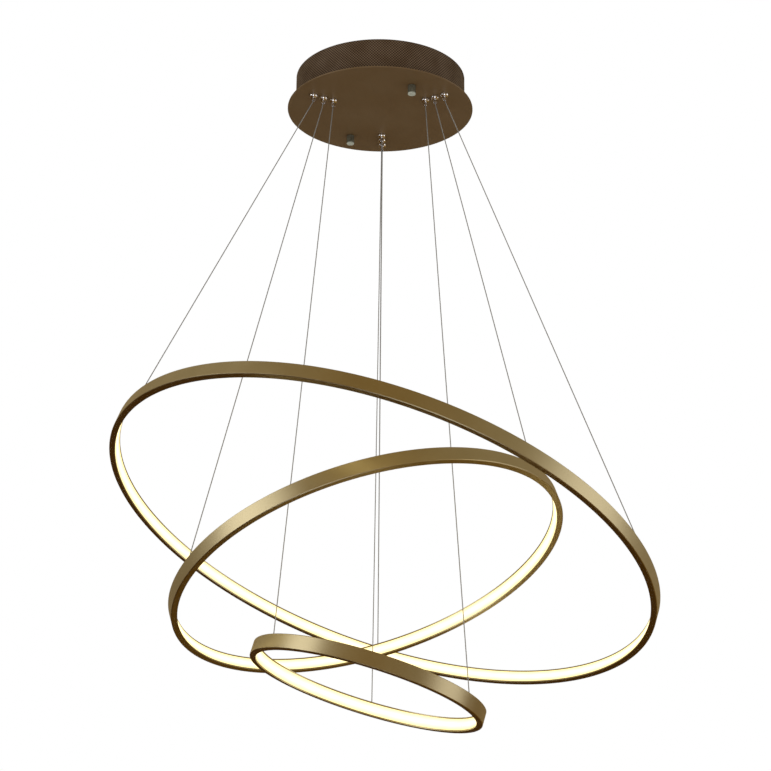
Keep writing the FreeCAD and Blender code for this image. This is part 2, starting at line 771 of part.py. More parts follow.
def ring_led_strip(ring):
    """The strip taped to the channel's outer wall, with its chips facing the ring's axis."""
    wall = RINGS[ring]["radius"] - PROFILE_WALL - STRIP_SEAT_GAP
    face = wall - STRIP_THICKNESS
    half = STRIP_WIDTH / 2
    strip = open_band([(face, -half), (wall, -half), (wall, half), (face, half)], ring)
    count = int(2 * math.pi * face / CHIP_PITCH)
    sunk = face - math.sqrt(face**2 - (CHIP_LENGTH / 2) ** 2)
    chip = Part.makeBox(CHIP_HEIGHT, CHIP_LENGTH, CHIP_WIDTH)
    chip.translate(Vector(face - sunk - CHIP_HEIGHT, -CHIP_LENGTH / 2, -CHIP_WIDTH / 2))
    chips = [turned(chip, JOINT_ANGLE + (k + 0.5) * 360 / count) for k in range(count)]
    return hung([strip] + chips, ring)


def ring_splice_plate(ring):
    middle = channel_middle(ring)
    radius = RINGS[ring]["radius"]
    half_width = radius - PROFILE_WALL - RUNNING_CLEARANCE - middle
    high = PROFILE_HEIGHT / 2 - PROFILE_WALL
    low = high - SPLICE_THICKNESS
    sweep = math.degrees(SPLICE_LENGTH / middle)
    plate = revolved(
        [
            (middle - half_width, low),
            (middle + half_width, low),
            (middle + half_width, high),
            (middle - half_width, high),
        ],
        sweep,
        JOINT_ANGLE - sweep / 2,
    )
    holes = [cylinder(SPLICE_SCREW_RADIUS + THREAD_CLEARANCE, low, high, at) for at in splice_places(ring)]
    return hung([plate.cut(holes)], ring)


def ring_splice_screws(ring):
    """Countersunk screws, flush with the top of the ring."""
    top = PROFILE_HEIGHT / 2
    flange = top - PROFILE_WALL
    neck = flange + SPLICE_HEAD_LAND
    screws = []
    for at in splice_places(ring):
        shank = cylinder(SPLICE_SCREW_RADIUS, flange - SPLICE_THICKNESS, neck, at)
        head = cone(SPLICE_SCREW_RADIUS, SPLICE_HEAD_RADIUS - THREAD_CLEARANCE, neck, top, at)
        screws.append(shank.fuse(head).removeSplitter())
    return hung(screws, ring)


def write(name, shapes):
    """Writes one node. Several solids go out together as one compound."""
    shapes = shapes if isinstance(shapes, list) else [shapes]
    solids = [solid for shape in shapes for solid in shape.Solids]
    for solid in solids:
        if not solid.isValid() or solid.Volume <= 0:
            print("invalid solid in", name)
    whole = solids[0] if len(solids) == 1 else Part.makeCompound(solids)
    whole.exportStep(f"parts/{name}.step")
    print(f"{name}: {len(solids)} solids, {whole.Volume:.1f} mm3")


def main():
    os.makedirs("parts", exist_ok=True)
    write("ceiling_bracket", ceiling_bracket())
    write("bracket_studs", bracket_studs())
    write("stud_lock_nuts", stud_lock_nuts())
    write("earth_screw", earth_screw())
    write("canopy_disc", canopy_disc())
    write("canopy_drum", canopy_drum())
    write("drum_nuts", drum_nuts())
    write("driver_case", driver_case())
    write("driver_lid", driver_lid())
    write("driver_lid_screws", driver_lid_screws())
    write("driver_nuts", driver_nuts())
    write("terminal_block", terminal_block())
    write("terminal_screws", terminal_screws())
    write("terminal_nuts", terminal_nuts())
    write("supply_leads", supply_leads())
    write("driver_leads", driver_leads())
    for name, at in zip(("near", "far"), stud_places()):
        write(f"thumb_nut_{name}", thumb_nut(at))
    write("gripper_bodies", at_each_gripper(gripper_body()))
    write("gripper_lock_nuts", gripper_lock_nuts())
    write("gripper_caps", at_each_gripper(gripper_cap()))
    write("cable_crimps", at_each_gripper(crimp()))
    for (ring, side), at in gripper_places().items():
        release = plunger()
        release.translate(at)
        write(f"release_plunger_{ring}_{side}", release)
        write(f"cable_{ring}_{side}", cable(ring, side))
    for ring in RINGS:
        write(f"{ring}_ring_frame", ring_frame(ring))
        write(f"{ring}_ring_diffuser", ring_diffuser(ring))
        write(f"{ring}_ring_led_strip", ring_led_strip(ring))
        write(f"{ring}_ring_splice_plate", ring_splice_plate(ring))
        write(f"{ring}_ring_splice_screws", ring_splice_screws(ring))
        write(f"{ring}_ring_cable_stops", cable_stops(ring))


main()
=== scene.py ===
"""LED ring chandelier: surfaces, cables, light and camera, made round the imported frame.

Blender works in metres here. Sizes of the object are written in millimetres and go through mm() or MM.
The origin is on the ceiling, at the centre of the canopy, and +Z is up.
"""

import json
import math

import bmesh
import bpy
from mathutils import Matrix, Vector


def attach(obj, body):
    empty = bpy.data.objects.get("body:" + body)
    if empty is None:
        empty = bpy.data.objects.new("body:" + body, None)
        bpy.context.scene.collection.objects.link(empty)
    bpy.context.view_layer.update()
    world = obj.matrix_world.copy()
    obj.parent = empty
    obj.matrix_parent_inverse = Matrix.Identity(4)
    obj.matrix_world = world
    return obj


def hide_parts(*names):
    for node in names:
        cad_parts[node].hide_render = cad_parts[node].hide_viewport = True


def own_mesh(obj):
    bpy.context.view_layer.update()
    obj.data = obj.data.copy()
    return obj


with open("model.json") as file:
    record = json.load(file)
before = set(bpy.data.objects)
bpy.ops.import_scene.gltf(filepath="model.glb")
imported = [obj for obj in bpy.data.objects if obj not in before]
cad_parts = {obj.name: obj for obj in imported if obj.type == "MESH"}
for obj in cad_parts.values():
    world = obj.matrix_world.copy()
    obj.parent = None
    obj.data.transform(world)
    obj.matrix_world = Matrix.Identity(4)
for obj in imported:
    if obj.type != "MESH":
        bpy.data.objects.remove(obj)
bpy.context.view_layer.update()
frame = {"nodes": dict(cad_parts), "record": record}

MM = 0.001

# Canopy
CANOPY_DEPTH = 52.0
DISC_THICKNESS = 2.0
DRUM_RADIUS = 127.0
DRUM_WALL = 1.0
DRUM_FLANGE = 7.4
DRUM_CEILING_GAP = 0.5
DRUM_PLAIN_EDGE = 1.2
# The width of the drum's bevels and of the plain strips beside its edges
DRUM_BEVEL = 0.3
DRUM_KNURL_COLUMNS = 380
DRUM_KNURL_ROWS = 22
DRUM_KNURL_DEPTH = 0.55

# Thumb nuts
STUD_CIRCLE_RADIUS = 95.0
STUD_ANGLES = {"near": 300.8, "far": 120.8}
NUT_RADIUS = 5.8
NUT_LENGTH = 14.0
NUT_EDGE = 0.7
NUT_EDGE_STEPS = 4
NUT_BORE_RADIUS = 2.08
NUT_BORE_DEPTH = 10.0
NUT_BORE_TIP = 0.8
# The width of the bore's bevel and of the plain strips beside the rounded edges
NUT_BEVEL = 0.3
NUT_DISH_DEPTH = 0.12
NUT_DISH_RIM = (1.9, 1.7)
NUT_MARK_RADIUS = 0.5
NUT_MARK_DEPTH = 0.5
NUT_AXIS_RADIUS = 0.02
NUT_GAP = 0.1
NUT_SEGMENTS = 96
# How far past its end face, along its outline, the painted shade on the nut's side starts and is at its
# darkest
NUT_PAINTED_SHADE_SIDE = (0.6, 2.4)

# Cables and grippers
SPOKE_ANGLES = {"left": 210.0, "right": 330.0, "far": 90.0}
GRIPPER_RADII = {"large": 111.5, "middle": 95.2, "small": 79.0}
CABLE_RADIUS = 0.75
CABLE_VALLEY_RADIUS = 0.69
CABLE_STRANDS = 6
CABLE_LAY = 12.0
CABLE_STEPS_PER_LAY = 10
CABLE_TOP = -28.7
CABLE_EXIT = -62.5
CABLE_LEAD = 12 * CABLE_RADIUS
STOP_INSET = 3.5
STOP_HEIGHT = 6.62

# Rings: outer radius, centre (aside, back, and height below the ceiling), tilt in degrees, the direction
# that the ring's axis leans to, the angles of its cables in the ring's own frame, and its lift
RINGS = {
    "large": dict(
        radius=400.0,
        centre=(1.5, 25.7, -704.0),
        tilt=22.92,
        lean=40.18,
        cables={"left": 212.5, "right": 332.5, "far": 89.7},
        lift=350.0,
    ),
    "middle": dict(
        radius=280.0,
        centre=(-9.6, 5.3, -749.7),
        tilt=22.81,
        lean=139.05,
        cables={"left": 213.0, "right": 330.1, "far": 91.0},
        lift=200.0,
    ),
    "small": dict(
        radius=163.0,
        centre=(-9.1, -16.2, -912.4),
        tilt=16.69,
        lean=16.31,
        cables={"left": 217.2, "right": 329.7, "far": 89.9},
        lift=450.0,
    ),
}

# Ring profile
PROFILE_HEIGHT = 20.0
PROFILE_WIDTH = 8.6
PROFILE_WALL = 1.5
PROFILE_CHAMFER = 0.8
PROFILE_EDGE = 0.12
LIP_DEPTH = 0.3
LIP_HEIGHT = 0.6
RIB_WIDTH = 0.6
RIB_HEIGHT = 0.8
DIFFUSER_THICKNESS = 1.5
DIFFUSER_GAP = 0.05
DIFFUSER_EDGE = 0.15
JOINT_ANGLE = 30.0
JOINT_GAP = 0.4
RING_STEP = 6.5
BAND_SHARP = 24.0
CABLE_HOLE_RADIUS = 1.15
CABLE_MOUTH_RADIUS = 2.0
CABLE_MOUTH_DEPTH = 0.8
CABLE_SINK = 0.3
SPLICE_SCREW_SPACING = 24.0
SPLICE_SEAT_RADII = (1.0, 1.9)
SPLICE_SEAT_DEPTH = 1.2
CHIP_PITCH = 33.3

# How far a cutter stands out of the face that it opens
CUTTER_SPARE = 0.1

# Camera, as fitted to the photograph
CAMERA_PLACE = (0.0825, -2.3110, -1.2243)
CAMERA_TURN = 1.761
CAMERA_PITCH = 17.730
CAMERA_ROLL = 0.473
CAMERA_LENS = 79.38
CAMERA_SENSOR = 36.0

# The room that metal mirrors: its colours above and below the horizon, each from one end of a ramp to the
# other, and a bright patch, with its azimuth, elevation, half its width and its soft rim in degrees
ROOM_ABOVE = ((0.33, 0.215, 0.078), (0.42, 0.34, 0.21))
ROOM_BELOW = ((0.08, 0.036, 0.008), (0.21, 0.115, 0.02))
WINDOW = (268.0, -33.0, 17.0)
WINDOW_RIM = 4.0
WINDOW_COLOUR = (1.7, 1.7, 1.75)

# The light on matt surfaces: level, from front and back to the sides, and from straight above
EVEN_LEVEL = ((0.60, 0.59, 0.57), (0.36, 0.35, 0.33))
EVEN_ABOVE = (1.5, 1.5, 1.5)

# Softboxes: degrees round from +X, metres from the axis and above the ceiling, width and height in metres,
# watts, and whether metal mirrors the light or it only lights what is matt
SOFTBOXES = {
    "right_softbox": dict(
        azimuth=-6.0, distance=3.2, height=-0.6, size=(2.0, 2.2), power=17.5, mirrored=True
    ),
    "left_softbox": dict(
        azimuth=204.0, distance=3.2, height=0.2, size=(2.1, 2.2), power=25.0, mirrored=True
    ),
    "front_softbox": dict(
        azimuth=262.0, distance=3.6, height=0.4, size=(2.4, 1.2), power=24.0, mirrored=False
    ),
}
LAMP_MIDDLE = (0, 0, -0.6)

# The studio floor, in metres
FLOOR_HALF = 40.0
FLOOR_LEVEL = -2.6


def polar(radius, degrees, z=0.0):
    angle = math.radians(degrees)
    return Vector((radius * math.cos(angle), radius * math.sin(angle), z))


def ring_matrix(ring):
    """From the ring's own frame in millimetres, with its axis on Z, to where it hangs in metres."""
    data = RINGS[ring]
    hinge = polar(1, data["lean"] + 90)
    turn = Matrix.Rotation(math.radians(data["tilt"]), 4, hinge)
    return Matrix.Scale(MM, 4) @ Matrix.Translation(Vector(data["centre"])) @ turn


# Meshes


def new_piece(name, mesh):
    piece = bpy.data.objects.new(name, mesh)
    bpy.context.scene.collection.objects.link(piece)
    return piece


def finished_mesh(name, vertices, faces, uvs=None, sharp=30.0):
    """A smooth mesh with its normals outwards. uvs has one pair for each corner of each face."""
    mesh = bpy.data.meshes.new(name)
    mesh.from_pydata(vertices, [], faces)
    if uvs:
        layer = mesh.uv_layers.new(name="UVMap")
        for corner, uv in zip(layer.data, uvs):
            corner.uv = uv
    work = bmesh.new()
    work.from_mesh(mesh)
    bmesh.ops.recalc_face_normals(work, faces=work.faces)
    work.to_mesh(mesh)
    work.free()
    mesh.polygons.foreach_set("use_smooth", [True] * len(mesh.polygons))
    mesh.set_sharp_from_angle(angle=math.radians(sharp))
    return mesh


def rounded(outline, radius, steps):
    """A closed outline with an arc at each corner, and a point beside each arc that keeps the sides flat.

    That point is beside times as far from the corner as the end of the arc.
    """
    beside = 1.8
    result = []
    for before, corner, after in zip(outline[-1:] + outline[:-1], outline, outline[1:] + outline[:1]):
        here = Vector(corner)
        back = Vector(before) - here
        ahead = Vector(after) - here
        reach = min(radius, back.length / 4, ahead.length / 4)
        back.normalize()
        ahead.normalize()
        result.append(here + back * reach * beside)
        for k in range(steps + 1):
            t = k / steps
            result.append(here + back * reach * (1 - t) ** 2 + ahead * reach * t**2)
        result.append(here + ahead * reach * beside)
    return result


def lathe_mesh(name, outline, segments, matrix, start=0.0, sweep=360.0, shape=None, sharp=30.0):
    """Turns a closed outline of (radius, z) points about Z.

    The UV map is in metres: u along the turn, v along the outline.
    shape(column, row, radius) changes a radius.
    """
    full = sweep >= 360.0
    columns = segments if full else segments + 1
    rows = len(outline)
    lengths = [0.0]
    for a, b in zip(outline, outline[1:] + outline[:1]):
        lengths.append(lengths[-1] + (Vector(b) - Vector(a)).length * MM)
    reach = max(r for r, z in outline) * MM * math.radians(sweep)
    vertices = []
    for column in range(columns):
        angle = start + sweep * column / segments
        for row, (radius, z) in enumerate(outline):
            if shape:
                radius = shape(column, row, radius)
            vertices.append(matrix @ polar(radius, angle, z))
    faces, uvs = [], []
    for column in range(segments):
        after = (column + 1) % columns
        u, u_after = reach * column / segments, reach * (column + 1) / segments
        for row in range(rows):
            up = (row + 1) % rows
            faces.append((column * rows + row, after * rows + row, after * rows + up, column * rows + up))
            v, v_up = lengths[row], lengths[row + 1]
            uvs += [(u, v), (u_after, v), (u_after, v_up), (u, v_up)]
    if not full:
        for first, order in ((0, 1), ((columns - 1) * rows, -1)):
            faces.append(tuple(range(first, first + rows))[::order])
            uvs += [(radius * MM, z * MM) for radius, z in outline][::order]
    return finished_mesh(name, vertices, faces, uvs, sharp)


def solid_between(name, points, radii, sides=24):
    """A round solid through points on one line, with a radius at each, as a cutter."""
    axis = (points[-1] - points[0]).normalized()
    across = axis.orthogonal().normalized()
    beside = axis.cross(across)
    vertices = []
    for point, radius in zip(points, radii):
        for k in range(sides):
            angle = 2 * math.pi * k / sides
            vertices.append(point + radius * (math.cos(angle) * across + math.sin(angle) * beside))
    faces = [tuple(range(sides)), tuple(range(len(vertices) - sides, len(vertices)))]
    for level in range(len(points) - 1):
        low, high = level * sides, (level + 1) * sides
        faces += [(low + k, low + (k + 1) % sides, high + (k + 1) % sides, high + k) for k in range(sides)]
    return new_piece(name, finished_mesh(name, vertices, faces))


def cut_away(piece, cutters, sharp=30.0):
    """Takes the cutters out of the piece and deletes them."""
    for cutter in cutters:
        step = piece.modifiers.new("cut", "BOOLEAN")
        step.operation = "DIFFERENCE"
        step.solver = "EXACT"
        step.object = cutter
    bpy.context.view_layer.update()
    evaluated = piece.evaluated_get(bpy.context.evaluated_depsgraph_get())
    mesh = bpy.data.meshes.new_from_object(evaluated)
    piece.modifiers.clear()
    piece.data = mesh
    mesh.set_sharp_from_angle(angle=math.radians(sharp))
    for cutter in cutters:
        bpy.data.objects.remove(cutter)


# Finishes

# The drum's relief: its steps round the drum and up it, and where its first row is along the outline.
# drum_paint lines its painted highlights and shade up with them.
KNURL_ACROSS = 2 * math.pi * DRUM_RADIUS / DRUM_KNURL_COLUMNS * MM
KNURL_UP = (CANOPY_DEPTH - DISC_THICKNESS - DRUM_CEILING_GAP - 2 * DRUM_PLAIN_EDGE) / DRUM_KNURL_ROWS * MM
KNURL_START = (
    DRUM_FLANGE + 2 * DRUM_WALL - DRUM_BEVEL + DRUM_BEVEL * math.sqrt(2) + DRUM_PLAIN_EDGE - DRUM_BEVEL
) * MM


class Nodes:
    """The nodes of a material or a world."""

    def __init__(self, owner):
        owner.use_nodes = True
        self.nodes = owner.node_tree.nodes
        self.links = owner.node_tree.links

    def node(self, kind, inputs=None, **settings):
        node = self.nodes.new(kind)
        for name, value in settings.items():
            setattr(node, name, value)
        for name, value in (inputs or {}).items():
            if isinstance(value, bpy.types.NodeSocket):
                self.links.new(value, node.inputs[name])
            else:
                node.inputs[name].default_value = value
        return node

    def calculate(self, operation, *values):
        """The result of a Math node; each value is a number or a socket."""
        return self.node("ShaderNodeMath", dict(enumerate(values)), operation=operation).outputs[0]

    def spread(self, factor, low, high, into=(0.0, 1.0)):
        """Maps low..high of a factor to the two values of into, and holds it there."""
        inputs = {"Value": factor, "From Min": low, "From Max": high, "To Min": into[0], "To Max": into[1]}
        return self.node("ShaderNodeMapRange", inputs).outputs[0]

    def blend(self, factor, first, second):
        """Mixes two colours, each a triple or a socket."""
        node = self.node("ShaderNodeMix", {"Factor": factor}, data_type="RGBA")
        for index, colour in ((6, first), (7, second)):
            if isinstance(colour, bpy.types.NodeSocket):
                self.links.new(colour, node.inputs[index])
            else:
                node.inputs[index].default_value = (*colour, 1)
        return node.outputs[2]


class Finish(Nodes):
    """A material in the making: its shader and the nodes that feed it."""

    def __init__(self, name, colour, roughness, metallic=0.0, **sockets):
        self.material = bpy.data.materials.new(name)
        super().__init__(self.material)
        self.shader = self.nodes["Principled BSDF"]
        self.shader.inputs["Base Color"].default_value = (*colour, 1)
        self.shader.inputs["Roughness"].default_value = roughness
        self.shader.inputs["Metallic"].default_value = metallic
        for socket, value in sockets.items():
            self.shader.inputs[socket.replace("_", " ")].default_value = value
        self.place = self.nodes.new("ShaderNodeTexCoord")

    def uv(self):
        """The piece's UV map, in metres, as a node with the outputs X and Y."""
        return self.node("ShaderNodeSeparateXYZ", {"Vector": self.place.outputs["UV"]})

    def noise(self, size, detail=3.0, stretch=(1, 1, 1)):
        """A noise over the piece whose spots are about size millimetres wide."""
        inputs = {"Vector": self.place.outputs["Object"], "Scale": stretch}
        place = self.node("ShaderNodeMapping", inputs).outputs[0]
        inputs = {"Vector": place, "Scale": 1 / (size * MM), "Detail": detail}
        return self.node("ShaderNodeTexNoise", inputs).outputs["Fac"]

    def paint(self, colour):
        self.links.new(colour, self.shader.inputs["Base Color"])

    def roughen(self, factor, low, high):
        value = self.spread(factor, 0.3, 0.7, (low, high))
        self.links.new(value, self.shader.inputs["Roughness"])

    def relief(self, height, depth, strength=1.0):
        """A bump whose height factor stands for depth millimetres."""
        inputs = {"Height": height, "Distance": depth * MM, "Strength": strength}
        bump = self.node("ShaderNodeBump", inputs)
        self.links.new(bump.outputs[0], self.shader.inputs["Normal"])
        return self

    def glow(self, colour, strength):
        self.links.new(colour, self.shader.inputs["Emission Color"])
        self.shader.inputs["Emission Strength"].default_value = strength


def satin_metal(name, dark, light, roughness, grain=0.5):
    """Zinc, nickel, aluminium or brass: cloudy colour, fine grain, uneven sheen."""
    finish = Finish(name, light, roughness, 1.0)
    cloud = finish.noise(14.0)
    fine = finish.noise(grain, 4.0)
    finish.paint(finish.blend(finish.spread(cloud, 0.35, 0.65), dark, light))
    finish.roughen(cloud, roughness - 0.05, roughness + 0.06)
    return finish.relief(fine, 0.02, 0.3).material


def canopy_paint():
    finish = Finish("canopy_paint", (0.125, 0.075, 0.03), 0.45, 0.2)
    cloud = finish.noise(60.0)
    skin = finish.noise(0.7, 4.0)
    finish.paint(finish.blend(finish.spread(cloud, 0.3, 0.7), (0.118, 0.069, 0.026), (0.131, 0.080, 0.032)))
    finish.roughen(cloud, 0.40, 0.48)
    return finish.relief(skin, 0.02, 0.25).material


def drum_paint():
    """Dark bronze, with a painted highlight on the crests of the embossed diamonds, painted shade, near
    black, in the hollows between them, and soft cloudy patches.
    """
    finish = Finish("drum_paint", (0.06, 0.043, 0.024), 0.5, Specular_IOR_Level=0.08)
    uv = finish.uv()
    waves = []
    for axis, offset, step in (("X", 0.0, KNURL_ACROSS), ("Y", KNURL_START, KNURL_UP)):
        along = finish.calculate("SUBTRACT", uv.outputs[axis], offset)
        waves.append(finish.calculate("COSINE", finish.calculate("MULTIPLY", along, math.pi / step)))
    # The crest mask places a painted highlight on the crests and painted shade in the hollows.
    crest = finish.calculate("MULTIPLY", *waves)
    cloud = finish.noise(26.0)
    fleck = finish.noise(5.0, 2.0)
    patches = finish.blend(finish.spread(cloud, 0.35, 0.68), (0.108, 0.066, 0.034), (0.146, 0.096, 0.057))
    # Painted shade: the hollows are mixed nearly to black.
    low = finish.blend(0.92, patches, (0.009, 0.004, 0.002))
    height = finish.spread(crest, -0.35, 0.55)
    finish.paint(finish.blend(height, low, patches))
    finish.roughen(fleck, 0.45, 0.6)
    return finish.relief(fleck, 0.05, 0.3).material


def ring_gold():
    finish = Finish("ring_gold", (0.46, 0.405, 0.26), 0.36, 1.0)
    grain = finish.noise(0.5, 3.0)
    cloud = finish.noise(45.0)
    finish.paint(finish.blend(finish.spread(cloud, 0.3, 0.7), (0.44, 0.385, 0.245), (0.48, 0.425, 0.275)))
    finish.roughen(cloud, 0.34, 0.39)
    return finish.relief(grain, 0.01, 0.05).material


def diffuser():
    """Opal plastic lit from behind: near white in the middle, yellower towards both edges."""
    finish = Finish("diffuser", (0.20, 0.195, 0.15), 0.5)
    uv = finish.uv()
    face = (PROFILE_HEIGHT - 2 * PROFILE_WALL - 2 * DIFFUSER_GAP) * MM
    away = finish.calculate("ABSOLUTE", finish.calculate("SUBTRACT", uv.outputs["Y"], face / 2))
    edge = finish.spread(away, 0.10 * face, 0.50 * face)
    around = finish.calculate("MULTIPLY", uv.outputs["X"], 2 * math.pi / (CHIP_PITCH * MM))
    spots = finish.spread(finish.calculate("SINE", around), -1.0, 1.0)
    centre = finish.blend(spots, (2.0, 1.64, 0.92), (1.8, 1.48, 0.86))
    finish.glow(finish.blend(edge, centre, (1.2, 0.98, 0.34)), 1.0)
    return finish.material


def led_strip():
    finish = Finish("led_strip", (0.9, 0.9, 0.86), 0.5)
    grain = finish.noise(1.2)
    finish.paint(finish.blend(finish.spread(grain, 0.4, 0.6), (0.86, 0.86, 0.80), (0.94, 0.94, 0.90)))
    return finish.relief(grain, 0.05, 0.3).material


def plastic(name, dark, light, roughness, grain=0.6):
    finish = Finish(name, light, roughness)
    cloud = finish.noise(20.0)
    skin = finish.noise(grain, 4.0)
    finish.paint(finish.blend(finish.spread(cloud, 0.3, 0.7), dark, light))
    finish.roughen(cloud, roughness - 0.05, roughness + 0.05)
    return finish.relief(skin, 0.03, 0.5).material


def thumb_nut_nickel():
    """Turned nickel: painted light on the end face and edge, and painted shade on the side."""
    finish = Finish("thumb_nut_nickel", (0.50, 0.52, 0.45), 0.42, 0.25)
    low, high = ((NUT_RADIUS + past) * MM for past in NUT_PAINTED_SHADE_SIDE)
    # Painted shade: the side darkens from just past the end face's edge.
    side = finish.spread(finish.uv().outputs["Y"], low, high)
    cloud = finish.spread(finish.noise(3.0), 0.3, 0.7)
    # The end face's lighter colour is painted light.
    face = finish.blend(cloud, (0.36, 0.38, 0.31), (0.44, 0.46, 0.39))
    finish.paint(finish.blend(side, face, finish.blend(cloud, (0.085, 0.08, 0.052), (0.13, 0.123, 0.088))))
    finish.roughen(cloud, 0.38, 0.5)
    return finish.relief(finish.noise(0.5, 4.0), 0.02, 0.3).material


def chrome():
    finish = Finish("chrome", (0.80, 0.80, 0.81), 0.07, 1.0)
    smear = finish.noise(6.0)
    finish.paint(finish.blend(finish.spread(smear, 0.35, 0.65), (0.76, 0.76, 0.77), (0.84, 0.84, 0.85)))
    finish.roughen(smear, 0.05, 0.12)
    return finish.relief(finish.noise(2.0), 0.01, 0.1).material


def cable_steel():
    """Stranded wire rope: painted shade between the strands, and painted highlights on their backs."""
    finish = Finish("cable_steel", (0.24, 0.235, 0.225), 0.42, 0.3)
    wire = finish.noise(0.25, 2.0, (1, 1, 0.2))
    # Painted shade and highlight: the noise that raises the bump also lightens its high parts and darkens its
    # low parts.
    finish.paint(finish.blend(finish.spread(wire, 0.35, 0.65), (0.20, 0.195, 0.185), (0.28, 0.272, 0.26)))
    finish.roughen(wire, 0.36, 0.48)
    return finish.relief(wire, 0.02, 0.3).material


FINISHES = {
    "canopy_paint": canopy_paint(),
    "drum_paint": drum_paint(),
    "ring_gold": ring_gold(),
    "ring_gold_steel": satin_metal("ring_gold_steel", (0.40, 0.29, 0.13), (0.50, 0.37, 0.18), 0.3),
    "diffuser": diffuser(),
    "led_strip": led_strip(),
    "bare_aluminium": satin_metal("bare_aluminium", (0.58, 0.58, 0.59), (0.68, 0.68, 0.69), 0.34),
    "chrome": chrome(),
    "satin_nickel": satin_metal("satin_nickel", (0.50, 0.50, 0.47), (0.62, 0.61, 0.57), 0.32, 0.3),
    "thumb_nut_nickel": thumb_nut_nickel(),
    "zinc_steel": satin_metal("zinc_steel", (0.50, 0.50, 0.50), (0.66, 0.66, 0.65), 0.36),
    "cable_steel": cable_steel(),
    "brass": satin_metal("brass", (0.52, 0.38, 0.15), (0.64, 0.48, 0.21), 0.28),
    "white_plastic": plastic("white_plastic", (0.72, 0.72, 0.69), (0.80, 0.80, 0.77), 0.45),
    "terminal_plastic": plastic("terminal_plastic", (0.60, 0.60, 0.55), (0.72, 0.72, 0.66), 0.4),
    "lead_sheath": plastic("lead_sheath", (0.018, 0.018, 0.018), (0.035, 0.034, 0.033), 0.5, 0.3),
}


def dress(piece, slot, body, replaced=None, finish=None):
    """Gives a new piece its finish and its body, and hides the node that it stands for."""
    piece.data.materials.clear()
    piece.data.materials.append(FINISHES[finish or slot])
    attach(piece, body)
    if replaced:
        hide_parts(replaced)


def dress_frame():
    """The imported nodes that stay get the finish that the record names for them."""
    for part in frame["record"]["subparts"]:
        node = frame["nodes"][part["node"]]
        node.data.materials.clear()
        node.data.materials.append(FINISHES[part["material_slot"]])


# Canopy


def drum_outline():
    """The drum's section from its flange round to its inside, and the first and last row of its relief."""
    disc_top = -CANOPY_DEPTH + DISC_THICKNESS
    high = -DRUM_CEILING_GAP
    inner = DRUM_RADIUS - DRUM_WALL
    low_edge, high_edge = disc_top + DRUM_PLAIN_EDGE, high - DRUM_PLAIN_EDGE
    outline = [
        (inner - DRUM_FLANGE, disc_top + DRUM_WALL),
        (inner - DRUM_FLANGE, disc_top),
        (DRUM_RADIUS - DRUM_BEVEL, disc_top),
        (DRUM_RADIUS, disc_top + DRUM_BEVEL),
        (DRUM_RADIUS, low_edge - DRUM_BEVEL),
    ]
    first = len(outline)
    for k in range(DRUM_KNURL_ROWS + 1):
        outline.append((DRUM_RADIUS, low_edge + (high_edge - low_edge) * k / DRUM_KNURL_ROWS))
    last = len(outline) - 1
    outline += [
        (DRUM_RADIUS, high_edge + DRUM_BEVEL),
        (DRUM_RADIUS, high - DRUM_BEVEL),
        (DRUM_RADIUS - DRUM_BEVEL, high),
        (inner, high),
        (inner, disc_top + DRUM_WALL),
    ]
    return outline, first, last


def canopy_drum():
    """The drum: a plain edge above and below, and a fine diamond relief between them."""
    outline, first, last = drum_outline()

    def knurl(column, row, radius):
        if first <= row <= last and (column + row - first) % 2:
            return radius - DRUM_KNURL_DEPTH
        return radius

    scale = Matrix.Scale(MM, 4)
    mesh = lathe_mesh("canopy_drum_shell", outline, DRUM_KNURL_COLUMNS, scale, shape=knurl, sharp=50.0)
    dress(new_piece("canopy_drum_shell", mesh), "drum_paint", "canopy", "canopy_drum")


def thumb_nut(name):
    """A turned nut: rounded ends, a shallow dish and a centre mark in its lower face."""
    high = -CANOPY_DEPTH - NUT_GAP
    low = high - NUT_LENGTH
    outer_rim, inner_rim = NUT_DISH_RIM
    turns = [math.radians(90 / NUT_EDGE_STEPS * k) for k in range(NUT_EDGE_STEPS + 1)]
    wide = [NUT_EDGE * (1 - math.sin(turn)) for turn in turns]
    tall = [NUT_EDGE * (1 - math.cos(turn)) for turn in turns]
    outline = [
        (NUT_AXIS_RADIUS, low + NUT_MARK_DEPTH),
        (NUT_MARK_RADIUS, low + NUT_DISH_DEPTH),
        (NUT_RADIUS - outer_rim, low + NUT_DISH_DEPTH),
        (NUT_RADIUS - inner_rim, low),
    ]
    outline += [(NUT_RADIUS - x, low + z) for x, z in zip(wide, tall)]
    outline += [(NUT_RADIUS, low + NUT_EDGE + NUT_BEVEL), (NUT_RADIUS, high - NUT_EDGE - NUT_BEVEL)]
    outline += [(NUT_RADIUS - x, high - z) for x, z in zip(tall, wide)]
    outline += [
        (NUT_BORE_RADIUS + NUT_BEVEL, high),
        (NUT_BORE_RADIUS, high - NUT_BEVEL),
        (NUT_BORE_RADIUS, high - NUT_BORE_DEPTH),
        (NUT_AXIS_RADIUS, high - NUT_BORE_DEPTH - NUT_BORE_TIP),
    ]
    place = Matrix.Scale(MM, 4) @ Matrix.Translation(polar(STUD_CIRCLE_RADIUS, STUD_ANGLES[name]))
    piece_name = f"thumb_nut_{name}_turned"
    nut = new_piece(piece_name, lathe_mesh(piece_name, outline, NUT_SEGMENTS, place))
    dress(nut, "satin_nickel", f"thumb_nut_{name}", f"thumb_nut_{name}", "thumb_nut_nickel")


# Rings


def stop_centre(ring, side):
    data = RINGS[ring]
    return polar(data["radius"] - STOP_INSET, data["cables"][side], STOP_HEIGHT)


def cable_exit(ring, side):
    return polar(GRIPPER_RADII[ring], SPOKE_ANGLES[side], CABLE_EXIT) * MM


def cable_end(ring, side):
    """Where the cable bends in the mouth of its hole, just below the ring's upper face."""
    place = ring_matrix(ring)
    stop = stop_centre(ring, side)
    mouth = place.inverted() @ cable_exit(ring, side)
    height = PROFILE_HEIGHT / 2 - CABLE_SINK
    return place @ stop.lerp(mouth, (height - stop.z) / (mouth.z - stop.z))


